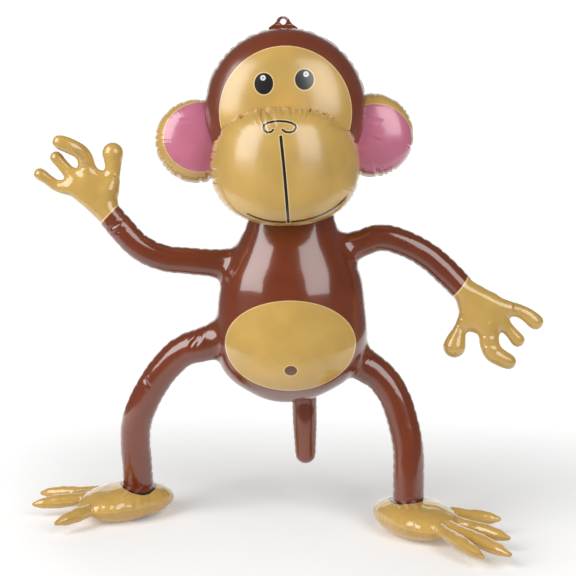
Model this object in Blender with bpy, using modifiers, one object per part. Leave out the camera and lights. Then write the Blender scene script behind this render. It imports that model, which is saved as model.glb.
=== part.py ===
"""Inflatable monkey: welded film envelopes full of air, standing on two flat soles.

Metres, +Z up, the face and belly look along -Y. Left and right are the viewer's.
The pose is given in shares of the stature, and each envelope has its own real sizes.
"""

import math

import bmesh
import bpy
from mathutils import Matrix, Vector

# Real sizes, in metres
STATURE = 0.645  # floor to crown, without the tab
HEAD_WIDTH = 0.206
HEAD_HEIGHT = 0.207
HEAD_DEPTH = 0.130
MUZZLE_WIDTH = 0.186
MUZZLE_HEIGHT = 0.145
MUZZLE_DEPTH = 0.098
MUZZLE_STEP = 0.005  # the middle of the muzzle's weld stands this far in front of the face
MUZZLE_WRAP = 0.130  # radius at which the muzzle curves back round the head
EAR_DIAMETER = 0.105
EAR_DEPTH = 0.052
EAR_STANDOFFS = {"ear_left": 0.0105, "ear_right": 0.0075}  # from the head's edge to the ear's middle
TORSO_DEPTH = 0.150
ARM_THICKNESS = 0.0345
WRIST_THICKNESS = 0.033
LEG_THICKNESS = 0.0405
FINGER_THICKNESS = 0.0188
THUMB_THICKNESS = 0.0265
PALM_LENGTH = 0.062
PALM_WIDTH = 0.052
PALM_DEPTH = 0.027
PAD_LENGTH = 0.138
PAD_WIDTH = 0.088
PAD_HEIGHT = 0.048
PAD_AHEAD = 0.021  # from the ankle to the pad's middle
TOE_THICKNESS = 0.0172
TAIL_THICKNESS = 0.035
TAIL_DROP = 0.088  # how far the tail hangs below its root
TAIL_BEND_BACK = 0.030  # how far inside the torso the tail starts
TAIL_BEND_RISE = 0.022
TAB_WIDTH = 0.036
TAB_HEIGHT = 0.014
TAB_THICKNESS = 0.0012
TAB_SKIRT = 0.012  # the part of the tab below the crown, which the head trims
TAB_RIM = 0.0025  # film left above the string hole
STRING_HOLE = 0.0078
SOLE_SINK = 0.003  # how much of the round pad the floor presses flat
GAP = 0.0003  # clearance between two envelopes that touch

# Shape of the envelopes: how square a blown-up outline is, 2 being a plain ellipse
PILLOW_POWER = 2.4
MUZZLE_POWER = 2.3

# How thick a limb is along its way, as shares of its own thickness
ARM_SHARES = [1.5, 1.3, 1.06, 1.0, 1.0, 1.0, 1.0]
LEG_SHARES = [1.5, 1.4, 1.15, 1.03, 1.0]
TOE_SHARES = [0.80, 0.72, 1.0, 0.80, 0.36]
TOE_STOPS = [0.0, 0.34, 0.62, 0.86, 1.0]  # where those shares stand between root and tip
TAIL_SHARES = [1.0, 1.0, 0.95, 0.82]

# Fineness of the solids
BLEND = 0.0028  # cell size where limbs grow out of one envelope
BODY_SHARE = 0.0322  # share of the blended faces that the body keeps
FOOT_SHARE = 0.050
TAIL_SHARE = 0.045
TUBE_SIDES = 5  # bevel resolution of the limbs

# Pose, in shares of the stature: x, y, z
HEAD_SIDE = -0.005
MUZZLE_DROP = 0.107
MUZZLE_SIDE = -0.0055
EAR_DROPS = {"ear_left": 0.060, "ear_right": 0.048}
TAB_SIDE = -0.0045
TORSO_SIDE = 0.0070
TORSO_WAIST = 0.395  # below this height the torso sways to the left
TORSO_SWAY = 0.010
TORSO_PROFILE = [  # radius and height, from the neck down
    (0.071, 0.775),
    (0.076, 0.698),
    (0.085, 0.636),
    (0.096, 0.603),
    (0.119, 0.560),
    (0.135, 0.527),
    (0.143, 0.496),
    (0.147, 0.465),
    (0.150, 0.434),
    (0.153, 0.395),
    (0.151, 0.364),
    (0.140, 0.330),
    (0.112, 0.299),
    (0.066, 0.272),
    (0.031, 0.260),
    (0.000, 0.257),
]
ARMS = {
    "left": [
        (-0.060, 0.000, 0.530),
        (-0.112, 0.000, 0.534),
        (-0.160, 0.000, 0.539),
        (-0.203, 0.000, 0.543),
        (-0.250, 0.000, 0.549),
        (-0.298, 0.000, 0.572),
        (-0.330, 0.000, 0.605),
        (-0.360, 0.000, 0.642),
    ],
    "right": [
        (0.060, 0.000, 0.540),
        (0.113, 0.000, 0.565),
        (0.147, -0.002, 0.578),
        (0.184, -0.003, 0.589),
        (0.231, -0.006, 0.578),
        (0.278, -0.008, 0.553),
        (0.318, -0.012, 0.519),
        (0.349, -0.016, 0.487),
    ],
}
LEGS = {
    "left": [
        (-0.060, 0.000, 0.402),
        (-0.107, 0.000, 0.394),
        (-0.169, 0.003, 0.374),
        (-0.209, 0.009, 0.360),
        (-0.246, 0.018, 0.327),
        (-0.278, 0.028, 0.282),
        (-0.301, 0.038, 0.237),
        (-0.313, 0.048, 0.202),
        (-0.317, 0.060, 0.158),
        (-0.316, 0.074, 0.105),
        (-0.315, 0.089, 0.040),
    ],
    "right": [
        (0.050, 0.000, 0.404),
        (0.105, 0.000, 0.372),
        (0.149, -0.003, 0.336),
        (0.184, -0.008, 0.312),
        (0.211, -0.013, 0.276),
        (0.230, -0.018, 0.223),
        (0.241, -0.024, 0.174),
        (0.243, -0.029, 0.122),
        (0.242, -0.035, 0.040),
    ],
}
# Each finger: its route from the palm, and its thickness at those points as a share
FINGERS = {
    "left": [
        (
            (
                (-0.425, 0.0, 0.689),
                (-0.458, 0.0, 0.692),
                (-0.475, 0.0, 0.704),
                (-0.491, 0.0, 0.715),
            ),
            (1.2, 0.78, 0.72, 0.86),
        ),
        (
            (
                (-0.416, 0.0, 0.702),
                (-0.437, 0.0, 0.723),
                (-0.449, 0.0, 0.737),
                (-0.458, 0.0, 0.748),
            ),
            (1.2, 0.82, 0.76, 0.86),
        ),
        (
            (
                (-0.396, 0.000, 0.706),
                (-0.397, -0.002, 0.731),
                (-0.404, -0.012, 0.755),
                (-0.426, -0.022, 0.770),
                (-0.446, -0.025, 0.778),
            ),
            (1.35, 1.12, 1.02, 1.06, 0.98),
        ),
    ],
    "right": [
        (
            (
                (0.429, -0.014, 0.450),
                (0.457, -0.014, 0.445),
                (0.475, -0.014, 0.437),
                (0.494, -0.014, 0.422),
            ),
            (1.2, 0.88, 0.98, 1.10),
        ),
        (
            (
                (0.419, -0.014, 0.427),
                (0.438, -0.014, 0.409),
                (0.448, -0.014, 0.398),
                (0.459, -0.014, 0.385),
            ),
            (1.2, 0.86, 0.86, 1.00),
        ),
        (
            (
                (0.397, -0.014, 0.421),
                (0.401, -0.015, 0.397),
                (0.402, -0.018, 0.379),
                (0.410, -0.020, 0.361),
                (0.426, -0.022, 0.350),
                (0.440, -0.022, 0.343),
            ),
            (1.50, 1.38, 1.32, 1.30, 1.20, 1.10),
        ),
    ],
}
THUMBS = {
    "left": (
        (
            (-0.358, 0.0, 0.684),
            (-0.347, 0.0, 0.715),
            (-0.346, 0.0, 0.737),
            (-0.346, 0.0, 0.757),
        ),
        (1.15, 0.66, 0.80, 1.02),
    ),
    "right": (
        (
            (0.362, -0.014, 0.438),
            (0.344, -0.014, 0.407),
            (0.336, -0.014, 0.385),
            (0.333, -0.014, 0.372),
        ),
        (1.0, 0.60, 0.95, 1.12),
    ),
}
PALMS = {"left": (-0.388, 0.0, 0.688), "right": (0.386, -0.014, 0.442)}
PALM_TURNS = {"left": math.radians(38), "right": math.radians(-40)}  # from +X, in the front view

# Feet: where the ankle stands, which way the toes point, and each toe's angle, reach and tip height
ANKLES = {"left": (-0.3140, 0.0900), "right": (0.2410, -0.0230)}
HEADINGS = {"left": math.radians(222), "right": math.radians(-62)}
TOES = {
    "left": [
        (math.radians(6), 0.219, 0.026),
        (math.radians(-32), 0.219, 0.028),
        (math.radians(-53), 0.218, 0.030),
        (math.radians(-43), 0.152, 0.030),
    ],
    "right": [
        (math.radians(-4), 0.277, 0.026),
        (math.radians(6), 0.294, 0.028),
        (math.radians(21), 0.236, 0.030),
        (math.radians(47), 0.184, 0.034),
    ],
}
TOE_ROOT = 0.085
TOE_ROOT_HEIGHT = 0.038
TAIL_ROOT = (0.034, 0.093, 0.262)
TAIL_LEAN = (0.003, 0.006)

COLOURS = {
    "brown": (0.195, 0.045, 0.016, 1.0),
    "tan": (0.610, 0.384, 0.098, 1.0),
    "pink": (0.640, 0.160, 0.250, 1.0),
    "dark": (0.060, 0.025, 0.018, 1.0),
}


def at(x, y, z):
    """A point of the pose, from its shares of the stature."""
    return Vector((x, y, z)) * STATURE


def new_collection(name):
    group = bpy.data.collections.new(name)
    bpy.context.scene.collection.children.link(group)
    return group


def film(name, colour):
    """Glossy plastic film in one of the printed colours."""
    material = bpy.data.materials.new(name)
    material.use_nodes = True
    shader = material.node_tree.nodes["Principled BSDF"]
    shader.inputs["Base Color"].default_value = COLOURS[colour]
    shader.inputs["Roughness"].default_value = 0.2
    shader.inputs["Metallic"].default_value = 0.0
    material.diffuse_color = COLOURS[colour]
    return material


def add_object(name, data, group, material=None):
    thing = bpy.data.objects.new(name, data)
    group.objects.link(thing)
    if material is not None:
        data.materials.append(material)
    return thing


def taken_mesh(thing):
    """The evaluated mesh of an object in world space; the object is removed."""
    graph = bpy.context.evaluated_depsgraph_get()
    mesh = bpy.data.meshes.new_from_object(thing.evaluated_get(graph))
    mesh.transform(thing.matrix_world)
    bpy.data.objects.remove(thing)
    form = bmesh.new()
    form.from_mesh(mesh)
    bmesh.ops.remove_doubles(form, verts=form.verts, dist=0.00001)
    bmesh.ops.recalc_face_normals(form, faces=form.faces)
    form.to_mesh(mesh)
    form.free()
    return mesh


def pillow(width, depth, height, power, segments, rings):
    """A blown-up envelope of two panels, its weld in the XZ plane, round its own middle."""
    form = bmesh.new()
    bmesh.ops.create_uvsphere(form, u_segments=segments, v_segments=rings, radius=1.0)
    bmesh.ops.rotate(form, verts=form.verts, matrix=Matrix.Rotation(math.pi / 2, 3, "X"))
    for vert in form.verts:
        x, y, z = vert.co
        ring = math.hypot(x, z)
        across = ring ** (2 / PILLOW_POWER)
        thick = math.copysign(abs(y) ** (2 / PILLOW_POWER), y)
        if ring > 0:
            x, z = x / ring, z / ring
        x = math.copysign(abs(x) ** (2 / power), x)
        z = math.copysign(abs(z) ** (2 / power), z)
        vert.co = (x * across * width / 2, thick * depth / 2, z * across * height / 2)
    mesh = bpy.data.meshes.new("pillow")
    form.to_mesh(mesh)
    form.free()
    return mesh


def tube(points, radii, group):
    """A round tube of changing thickness along a smooth route, with round ends."""
    curve = bpy.data.curves.new("tube", "CURVE")
    curve.dimensions = "3D"
    curve.bevel_depth = 1.0
    curve.bevel_resolution = TUBE_SIDES
    curve.use_fill_caps = True
    curve.resolution_u = 6
    spline = curve.splines.new("BEZIER")
    spline.bezier_points.add(len(points) - 1)
    for knot, point, radius in zip(spline.bezier_points, points, radii):
        knot.co = point
        knot.radius = radius
        knot.handle_left_type = "AUTO"
        knot.handle_right_type = "AUTO"
    pieces = [taken_mesh(add_object("tube", curve, group))]
    for point, radius in ((points[0], radii[0]), (points[-1], radii[-1])):
        form = bmesh.new()
        bmesh.ops.create_uvsphere(form, u_segments=14, v_segments=10, radius=radius * 0.98)
        bmesh.ops.translate(form, verts=form.verts, vec=point)
        mesh = bpy.data.meshes.new("end")
        form.to_mesh(mesh)
        form.free()
        pieces.append(mesh)
    return pieces


def blended(name, meshes, share, group, material):
    """One envelope grown from several overlapping closed forms."""
    form = bmesh.new()
    for mesh in meshes:
        form.from_mesh(mesh)
    whole = bpy.data.meshes.new(name)
    form.to_mesh(whole)
    form.free()
    thing = add_object(name, whole, group, material)
    blend = thing.modifiers.new("blend", "REMESH")
    blend.mode = "VOXEL"
    blend.voxel_size = BLEND
    soften = thing.modifiers.new("soften", "SMOOTH")
    soften.factor = 0.5
    soften.iterations = 3
    thin_out = thing.modifiers.new("thin_out", "DECIMATE")
    thin_out.ratio = share
    return thing


def cut(thing, cutter):
    trim = thing.modifiers.new("trim_" + cutter.name, "BOOLEAN")
    trim.operation = "DIFFERENCE"
    trim.solver = "EXACT"
    trim.object = cutter


def grown(thing, cutters):
    """A cutter that clears the object by the gap all round."""
    cutter = add_object("clear_of_" + thing.name, thing.data.copy(), cutters)
    cutter.matrix_world = thing.matrix_world
    for step in thing.modifiers:
        twin = cutter.modifiers.new(step.name, step.type)
        for setting in step.bl_rna.properties:
            if not setting.is_readonly and setting.identifier not in ("name", "type"):
                setattr(twin, setting.identifier, getattr(step, setting.identifier))
    swell = cutter.modifiers.new("swell", "DISPLACE")
    swell.mid_level = 0.0
    swell.strength = GAP
    cutter.hide_render = True
    cutter.display_type = "WIRE"
    return cutter


def torso_mesh(group):
    """The torso and neck: a turned profile, flatter from front to back."""
    form = bmesh.new()
    rim = [form.verts.new((radius * STATURE, 0, z * STATURE)) for radius, z in TORSO_PROFILE]
    rim.insert(0, form.verts.new((0, 0, TORSO_PROFILE[0][1] * STATURE)))
    for upper, lower in zip(rim, rim[1:]):
        form.edges.new((upper, lower))
    mesh = bpy.data.meshes.new("torso")
    form.to_mesh(mesh)
    form.free()
    thing = add_object("torso", mesh, group)
    turn = thing.modifiers.new("turn", "SCREW")
    turn.steps = 48
    turn.render_steps = 48
    turn.use_merge_vertices = True
    turn.merge_threshold = 0.0001
    turned = taken_mesh(thing)
    widest = 2 * STATURE * max(radius for radius, _ in TORSO_PROFILE)
    turned.transform(Matrix.Diagonal((1, TORSO_DEPTH / widest, 1, 1)))
    turned.transform(Matrix.Translation((TORSO_SIDE * STATURE, 0, 0)))
    waist = TORSO_WAIST * STATURE
    fall = waist - TORSO_PROFILE[-1][1] * STATURE
    for vert in turned.vertices:
        vert.co.x -= TORSO_SWAY * STATURE * max(0.0, (waist - vert.co.z) / fall) ** 2
    return turned


def hand_meshes(side, group):
    """Palm, three fingers and a thumb; the palm's long way follows the wrist."""
    palm = pillow(PALM_LENGTH, PALM_DEPTH, PALM_WIDTH, 2, 20, 12)
    palm.transform(Matrix.Rotation(PALM_TURNS[side], 4, "Y"))
    palm.transform(Matrix.Translation(at(*PALMS[side])))
    meshes = [palm]
    fingers = [(route, FINGER_THICKNESS, shares) for route, shares in FINGERS[side]]
    thumb_route, thumb_shares = THUMBS[side]
    for route, thickness, shares in [*fingers, (thumb_route, THUMB_THICKNESS, thumb_shares)]:
        points = [at(*point) for point in route]
        meshes += tube(points, [thickness / 2 * share for share in shares], group)
    return meshes


def body_form(group, material):
    meshes = [torso_mesh(group)]
    for side in ("left", "right"):
        arm = [at(*point) for point in ARMS[side]]
        radii = [ARM_THICKNESS / 2 * share for share in ARM_SHARES] + [WRIST_THICKNESS / 2]
        meshes += tube(arm, radii, group)
        leg = [at(*point) for point in LEGS[side]]
        shares = LEG_SHARES + [1.0] * (len(leg) - len(LEG_SHARES))
        meshes += tube(leg, [LEG_THICKNESS / 2 * share for share in shares], group)
        meshes += hand_meshes(side, group)
    return blended("body", meshes, BODY_SHARE, group, material)


def foot_form(side, group, material, cutters):
    """A pad with four pointed toes, pressed flat where it stands."""
    middle = PAD_HEIGHT / 2 - SOLE_SINK
    pad = pillow(PAD_LENGTH, PAD_WIDTH, PAD_HEIGHT, 2, 28, 16)
    pad.transform(Matrix.Translation((PAD_AHEAD, 0, middle)))
    meshes = [pad]
    for angle, reach, tip_height in TOES[side]:
        root = at(TOE_ROOT * math.cos(angle), TOE_ROOT * math.sin(angle), TOE_ROOT_HEIGHT)
        tip = at(reach * math.cos(angle), reach * math.sin(angle), tip_height)
        points = [root.lerp(tip, stop) for stop in TOE_STOPS]
        meshes += tube(points, [TOE_THICKNESS / 2 * share for share in TOE_SHARES], group)
    x, y = ANKLES[side]
    place = Matrix.Translation(at(x, y, 0)) @ Matrix.Rotation(HEADINGS[side], 4, "Z")
    for mesh in meshes:
        mesh.transform(place)
    foot = blended("foot_" + side, meshes, FOOT_SHARE, group, material)
    floor = bmesh.new()
    bmesh.ops.create_cube(floor, size=1.0)
    bmesh.ops.translate(floor, verts=floor.verts, vec=(0, 0, -0.5))
    block = bpy.data.meshes.new("floor")
    floor.to_mesh(block)
    floor.free()
    floor_cutter = add_object("floor_under_" + side, block, cutters)
    floor_cutter.hide_render = True
    floor_cutter.display_type = "WIRE"
    cut(foot, floor_cutter)
    return foot


def tail_form(group, material):
    root = at(*TAIL_ROOT)
    tip = root + at(*TAIL_LEAN, 0) - Vector((0, 0, TAIL_DROP))
    start = root + Vector((0, -TAIL_BEND_BACK, TAIL_BEND_RISE))
    points = [start, root, root.lerp(tip, 0.5), tip]
    radii = [TAIL_THICKNESS / 2 * share for share in TAIL_SHARES]
    return blended("tail", tube(points, radii, group), TAIL_SHARE, group, material)


def tab_form(crown, group, material):
    """A flat bell-shaped tab with a round string hole, standing on the head's weld."""
    curve = bpy.data.curves.new("hanging_tab", "CURVE")
    curve.dimensions = "2D"
    curve.fill_mode = "BOTH"
    curve.extrude = TAB_THICKNESS / 2
    curve.resolution_u = 6
    side = TAB_WIDTH / 2
    outline = [
        (-side, -TAB_SKIRT, "VECTOR"),
        (-side, 0.0, "VECTOR"),
        (-side * 0.52, TAB_HEIGHT * 0.48, "AUTO"),
        (-side * 0.34, TAB_HEIGHT * 0.84, "AUTO"),
        (0.0, TAB_HEIGHT, "AUTO"),
        (side * 0.34, TAB_HEIGHT * 0.84, "AUTO"),
        (side * 0.52, TAB_HEIGHT * 0.48, "AUTO"),
        (side, 0.0, "VECTOR"),
        (side, -TAB_SKIRT, "VECTOR"),
    ]
    spline = curve.splines.new("BEZIER")
    spline.bezier_points.add(len(outline) - 1)
    for knot, (x, height, kind) in zip(spline.bezier_points, outline):
        knot.co = (x, height, 0)
        knot.handle_left_type = kind
        knot.handle_right_type = kind
    spline.use_cyclic_u = True
    middle = TAB_HEIGHT - STRING_HOLE / 2 - TAB_RIM
    hole = curve.splines.new("BEZIER")
    hole.bezier_points.add(3)
    for step, knot in enumerate(hole.bezier_points):
        turn = step * math.pi / 2
        knot.co = (math.cos(turn) * STRING_HOLE / 2, middle + math.sin(turn) * STRING_HOLE / 2, 0)
        knot.handle_left_type = "AUTO"
        knot.handle_right_type = "AUTO"
    hole.use_cyclic_u = True
    mesh = taken_mesh(add_object("hanging_tab", curve, group))
    mesh.transform(Matrix.Rotation(math.pi / 2, 4, "X"))
    mesh.transform(Matrix.Translation(crown))
    mesh.materials.clear()
    return add_object("hanging_tab", mesh, group, material)


def build():
    for old in list(bpy.data.objects):
        bpy.data.objects.remove(old)
    group = new_collection("inflatable_monkey")
    cutters = new_collection("cutters")
    brown = film("brown_film", "brown")
    tan = film("tan_film", "tan")
    pink = film("pink_film", "pink")
    dark = film("tab_film", "dark")

    middle = Vector((HEAD_SIDE * STATURE, 0, STATURE - HEAD_HEIGHT / 2))
    head = add_object("head", pillow(HEAD_WIDTH, HEAD_DEPTH, HEAD_HEIGHT, 2, 40, 18), group, brown)
    head.data.transform(Matrix.Translation(middle))

    muzzle_mesh = pillow(MUZZLE_WIDTH, MUZZLE_DEPTH, MUZZLE_HEIGHT, MUZZLE_POWER, 36, 16)
    muzzle = add_object("muzzle", muzzle_mesh, group, tan)
    for vert in muzzle.data.vertices:
        vert.co.y += vert.co.x ** 2 / (2 * MUZZLE_WRAP)
    front = Vector((MUZZLE_SIDE * STATURE, -HEAD_DEPTH / 2 - MUZZLE_STEP, -MUZZLE_DROP * STATURE))
    muzzle.data.transform(Matrix.Translation(Vector((0, 0, middle.z)) + front))

    ears = []
    for name, way in (("ear_left", -1), ("ear_right", 1)):
        ear = add_object(name, pillow(EAR_DIAMETER, EAR_DEPTH, EAR_DIAMETER, 2, 30, 12), group, pink)
        aside = way * (HEAD_WIDTH / 2 + EAR_STANDOFFS[name])
        ear.data.transform(Matrix.Translation(middle + Vector((aside, 0, -EAR_DROPS[name] * STATURE))))
        ears.append(ear)

    body = body_form(group, brown)
    feet = [foot_form(side, group, tan, cutters) for side in ("left", "right")]
    tail = tail_form(group, brown)
    tab = tab_form(middle + Vector((TAB_SIDE * STATURE, 0, HEAD_HEIGHT / 2)), group, dark)

    clear_head = grown(head, cutters)
    clear_muzzle = grown(muzzle, cutters)
    for piece in (muzzle, *ears, tab, body):
        cut(piece, clear_head)
    for piece in (*ears, body):
        cut(piece, clear_muzzle)
    for neighbour in (*feet, tail):
        cut(body, grown(neighbour, cutters))

    stand = bpy.data.objects.new("stand_point", None)
    group.objects.link(stand)
    graph = bpy.context.evaluated_depsgraph_get()
    corners = [
        piece.matrix_world @ vert.co
        for piece in (head, muzzle, *ears, body, *feet, tail, tab)
        for vert in piece.evaluated_get(graph).data.vertices
    ]
    low = [min(corner[axis] for corner in corners) for axis in range(3)]
    high = [max(corner[axis] for corner in corners) for axis in range(3)]
    shift = Vector((-(low[0] + high[0]) / 2, -(low[1] + high[1]) / 2, -low[2]))
    for piece in (*group.objects, *cutters.objects):
        if piece is not stand:
            piece.parent = stand
    stand.location = shift
    for piece in group.objects:
        if piece.type == "MESH":
            piece.data.shade_smooth()


build()
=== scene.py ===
import math

import bmesh
import bpy
from mathutils import Matrix, Vector, noise
from mathutils.kdtree import KDTree


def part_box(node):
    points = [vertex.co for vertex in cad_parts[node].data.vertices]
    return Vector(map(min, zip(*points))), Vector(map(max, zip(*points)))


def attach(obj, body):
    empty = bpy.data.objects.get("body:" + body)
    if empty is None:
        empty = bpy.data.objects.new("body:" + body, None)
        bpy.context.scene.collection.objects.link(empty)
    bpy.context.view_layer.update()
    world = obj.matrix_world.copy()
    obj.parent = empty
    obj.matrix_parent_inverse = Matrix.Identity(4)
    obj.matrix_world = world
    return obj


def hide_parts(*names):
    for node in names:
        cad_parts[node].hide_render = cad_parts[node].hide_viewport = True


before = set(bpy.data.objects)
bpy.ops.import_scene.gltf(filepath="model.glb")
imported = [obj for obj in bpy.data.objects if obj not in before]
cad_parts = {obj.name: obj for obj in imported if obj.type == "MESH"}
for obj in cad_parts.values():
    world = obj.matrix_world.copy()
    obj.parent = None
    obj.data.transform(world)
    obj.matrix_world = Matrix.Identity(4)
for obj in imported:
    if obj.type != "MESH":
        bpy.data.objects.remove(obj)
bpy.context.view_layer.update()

# The figure's own sizes, in metres, the same as the solids have
STATURE = 0.645
HEAD_WIDTH = 0.206
HEAD_HEIGHT = 0.207
HEAD_DEPTH = 0.130
MUZZLE_WIDTH = 0.186
MUZZLE_HEIGHT = 0.145
MUZZLE_DEPTH = 0.098
MUZZLE_STEP = 0.005
MUZZLE_WRAP = 0.130
EAR_DIAMETER = 0.105
EAR_DEPTH = 0.052
EAR_BACK = 0.006  # the ears' welds sit behind the head's
EAR_STANDOFFS = {"ear_left": 0.0105, "ear_right": 0.0075}
TORSO_DEPTH = 0.150
ARM_THICKNESS = 0.0345
WRIST_THICKNESS = 0.033
LEG_THICKNESS = 0.0405
FINGER_THICKNESS = 0.0188
THUMB_THICKNESS = 0.0265
PALM_LENGTH = 0.062
PALM_WIDTH = 0.052
PALM_DEPTH = 0.027
PAD_LENGTH = 0.138
PAD_WIDTH = 0.088
PAD_HEIGHT = 0.048
PAD_AHEAD = 0.021
TOE_THICKNESS = 0.0172
TAIL_THICKNESS = 0.035
TAIL_DROP = 0.088
TAIL_BEND_BACK = 0.030
TAIL_BEND_RISE = 0.022
TAB_WIDTH = 0.036
TAB_HEIGHT = 0.014
TAB_THICKNESS = 0.0012
TAB_SKIRT = 0.012
TAB_RIM = 0.0025
STRING_HOLE = 0.0078
SOLE_SINK = 0.003
PILLOW_POWER = 2.4
MUZZLE_POWER = 2.3
MUZZLE_FULLNESS = 2.85  # the film's front is a little flatter than the solid's
ARM_SHARES = [1.5, 1.3, 1.06, 1.0, 1.0, 1.0, 1.0]
LEG_SHARES = [1.5, 1.4, 1.15, 1.03, 1.0]
TOE_FILM_SHARES = [1.15, 0.98, 1.12, 0.88, 0.40]  # a little fuller than the solids' toes
TOE_STOPS = [0.0, 0.34, 0.62, 0.86, 1.0]
TAIL_SHARES = [1.0, 1.0, 0.95, 0.82]

# Pose, in shares of the stature, the same as the solids have
HEAD_SIDE = -0.005
MUZZLE_DROP = 0.107
MUZZLE_SIDE = -0.0055
EAR_DROPS = {"ear_left": 0.060, "ear_right": 0.048}
TAB_SIDE = -0.0045
TORSO_SIDE = 0.0070
TORSO_WAIST = 0.395
TORSO_SWAY = 0.010
TORSO_PROFILE = [
    (0.071, 0.775),
    (0.076, 0.698),
    (0.085, 0.636),
    (0.096, 0.603),
    (0.119, 0.560),
    (0.135, 0.527),
    (0.143, 0.496),
    (0.147, 0.465),
    (0.150, 0.434),
    (0.153, 0.395),
    (0.151, 0.364),
    (0.140, 0.330),
    (0.112, 0.299),
    (0.066, 0.272),
    (0.031, 0.260),
    (0.000, 0.257),
]
ARMS = {
    "left": [
        (-0.060, 0.000, 0.530),
        (-0.112, 0.000, 0.534),
        (-0.160, 0.000, 0.539),
        (-0.203, 0.000, 0.543),
        (-0.250, 0.000, 0.549),
        (-0.298, 0.000, 0.572),
        (-0.330, 0.000, 0.605),
        (-0.360, 0.000, 0.642),
    ],
    "right": [
        (0.060, 0.000, 0.540),
        (0.113, 0.000, 0.565),
        (0.147, -0.002, 0.578),
        (0.184, -0.003, 0.589),
        (0.231, -0.006, 0.578),
        (0.278, -0.008, 0.553),
        (0.318, -0.012, 0.519),
        (0.349, -0.016, 0.487),
    ],
}
LEGS = {
    "left": [
        (-0.060, 0.000, 0.402),
        (-0.107, 0.000, 0.394),
        (-0.169, 0.003, 0.374),
        (-0.209, 0.009, 0.360),
        (-0.246, 0.018, 0.327),
        (-0.278, 0.028, 0.282),
        (-0.301, 0.038, 0.237),
        (-0.313, 0.048, 0.202),
        (-0.317, 0.060, 0.158),
        (-0.316, 0.074, 0.105),
        (-0.315, 0.089, 0.040),
    ],
    "right": [
        (0.050, 0.000, 0.404),
        (0.105, 0.000, 0.372),
        (0.149, -0.003, 0.336),
        (0.184, -0.008, 0.312),
        (0.211, -0.013, 0.276),
        (0.230, -0.018, 0.223),
        (0.241, -0.024, 0.174),
        (0.243, -0.029, 0.122),
        (0.242, -0.035, 0.040),
    ],
}
FINGERS = {
    "left": [
        (
            ((-0.425, 0.0, 0.689), (-0.458, 0.0, 0.692), (-0.475, 0.0, 0.704), (-0.491, 0.0, 0.715)),
            (1.2, 0.78, 0.72, 0.86),
        ),
        (
            ((-0.416, 0.0, 0.702), (-0.437, 0.0, 0.723), (-0.449, 0.0, 0.737), (-0.458, 0.0, 0.748)),
            (1.2, 0.82, 0.76, 0.86),
        ),
        (
            (
                (-0.396, 0.000, 0.706),
                (-0.397, -0.002, 0.731),
                (-0.404, -0.012, 0.755),
                (-0.426, -0.022, 0.770),
                (-0.446, -0.025, 0.778),
            ),
            (1.35, 1.12, 1.02, 1.06, 0.98),
        ),
    ],
    "right": [
        (
            ((0.429, -0.014, 0.450), (0.457, -0.014, 0.445), (0.475, -0.014, 0.437), (0.494, -0.014, 0.422)),
            (1.2, 0.88, 0.98, 1.10),
        ),
        (
            ((0.419, -0.014, 0.427), (0.438, -0.014, 0.409), (0.448, -0.014, 0.398), (0.459, -0.014, 0.385)),
            (1.2, 0.86, 0.86, 1.00),
        ),
        (
            (
                (0.397, -0.014, 0.421),
                (0.401, -0.015, 0.397),
                (0.402, -0.018, 0.379),
                (0.410, -0.020, 0.361),
                (0.426, -0.022, 0.350),
                (0.440, -0.022, 0.343),
            ),
            (1.50, 1.38, 1.32, 1.30, 1.20, 1.10),
        ),
    ],
}
THUMBS = {
    "left": (
        ((-0.358, 0.0, 0.684), (-0.347, 0.0, 0.715), (-0.346, 0.0, 0.737), (-0.346, 0.0, 0.757)),
        (1.15, 0.66, 0.80, 1.02),
    ),
    "right": (
        ((0.362, -0.014, 0.438), (0.344, -0.014, 0.407), (0.336, -0.014, 0.385), (0.333, -0.014, 0.372)),
        (1.0, 0.60, 0.95, 1.12),
    ),
}
PALMS = {"left": (-0.388, 0.0, 0.688), "right": (0.386, -0.014, 0.442)}
PALM_TURNS = {"left": math.radians(38), "right": math.radians(-40)}
ANKLES = {"left": (-0.3140, 0.0900), "right": (0.2410, -0.0230)}
HEADINGS = {"left": math.radians(222), "right": math.radians(-62)}
TOES = {
    "left": [
        (math.radians(6), 0.219, 0.026),
        (math.radians(-32), 0.219, 0.028),
        (math.radians(-53), 0.218, 0.030),
        (math.radians(-43), 0.152, 0.030),
    ],
    "right": [
        (math.radians(-4), 0.277, 0.026),
        (math.radians(6), 0.294, 0.028),
        (math.radians(21), 0.236, 0.030),
        (math.radians(47), 0.184, 0.034),
    ],
}
TOE_ROOT = 0.085
TOE_ROOT_HEIGHT = 0.038
TAIL_ROOT = (0.034, 0.093, 0.262)
TAIL_LEAN = (0.003, 0.006)

# Welds and creases of the film
FLANGE = 0.0009  # width of the flat welded rim outside the air
FLANGE_HALF = 0.00028
CREASE_WIDTH = 0.0018
SHOULDER_AWAY = 0.0034  # the raised film on both sides of a pucker
SHOULDER_WIDTH = 0.0019
SCALLOP_RUN = 0.009
HEAD_PINCHES = 44
MUZZLE_PINCHES = 30
EAR_PINCHES = 19
FOOT_PINCHES = 26
FOOT_WELD = 0.0205  # height of the feet's side welds
LIMB_PINCH = 0.0125  # spacing of the puckers along the limbs' side welds
TORSO_PINCH = 0.0105
TAIL_PINCH = 0.010
BODY_CELL = 0.00215
FOOT_CELL = 0.0015
TAIL_CELL = 0.0014
SOFTENING = 6
SMOOTHING_LOSS = 0.0008  # what the smoothing takes off a finger's radius

head_low, head_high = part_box("head")
head_middle = (head_low + head_high) / 2
SHIFT = Vector((head_middle.x - HEAD_SIDE * STATURE, head_middle.y, 0.0))
MIDDLE = Vector((HEAD_SIDE * STATURE, 0.0, STATURE - HEAD_HEIGHT / 2))

parts = bpy.data.collections.new("monkey_pieces")
bpy.context.scene.collection.children.link(parts)


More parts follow.
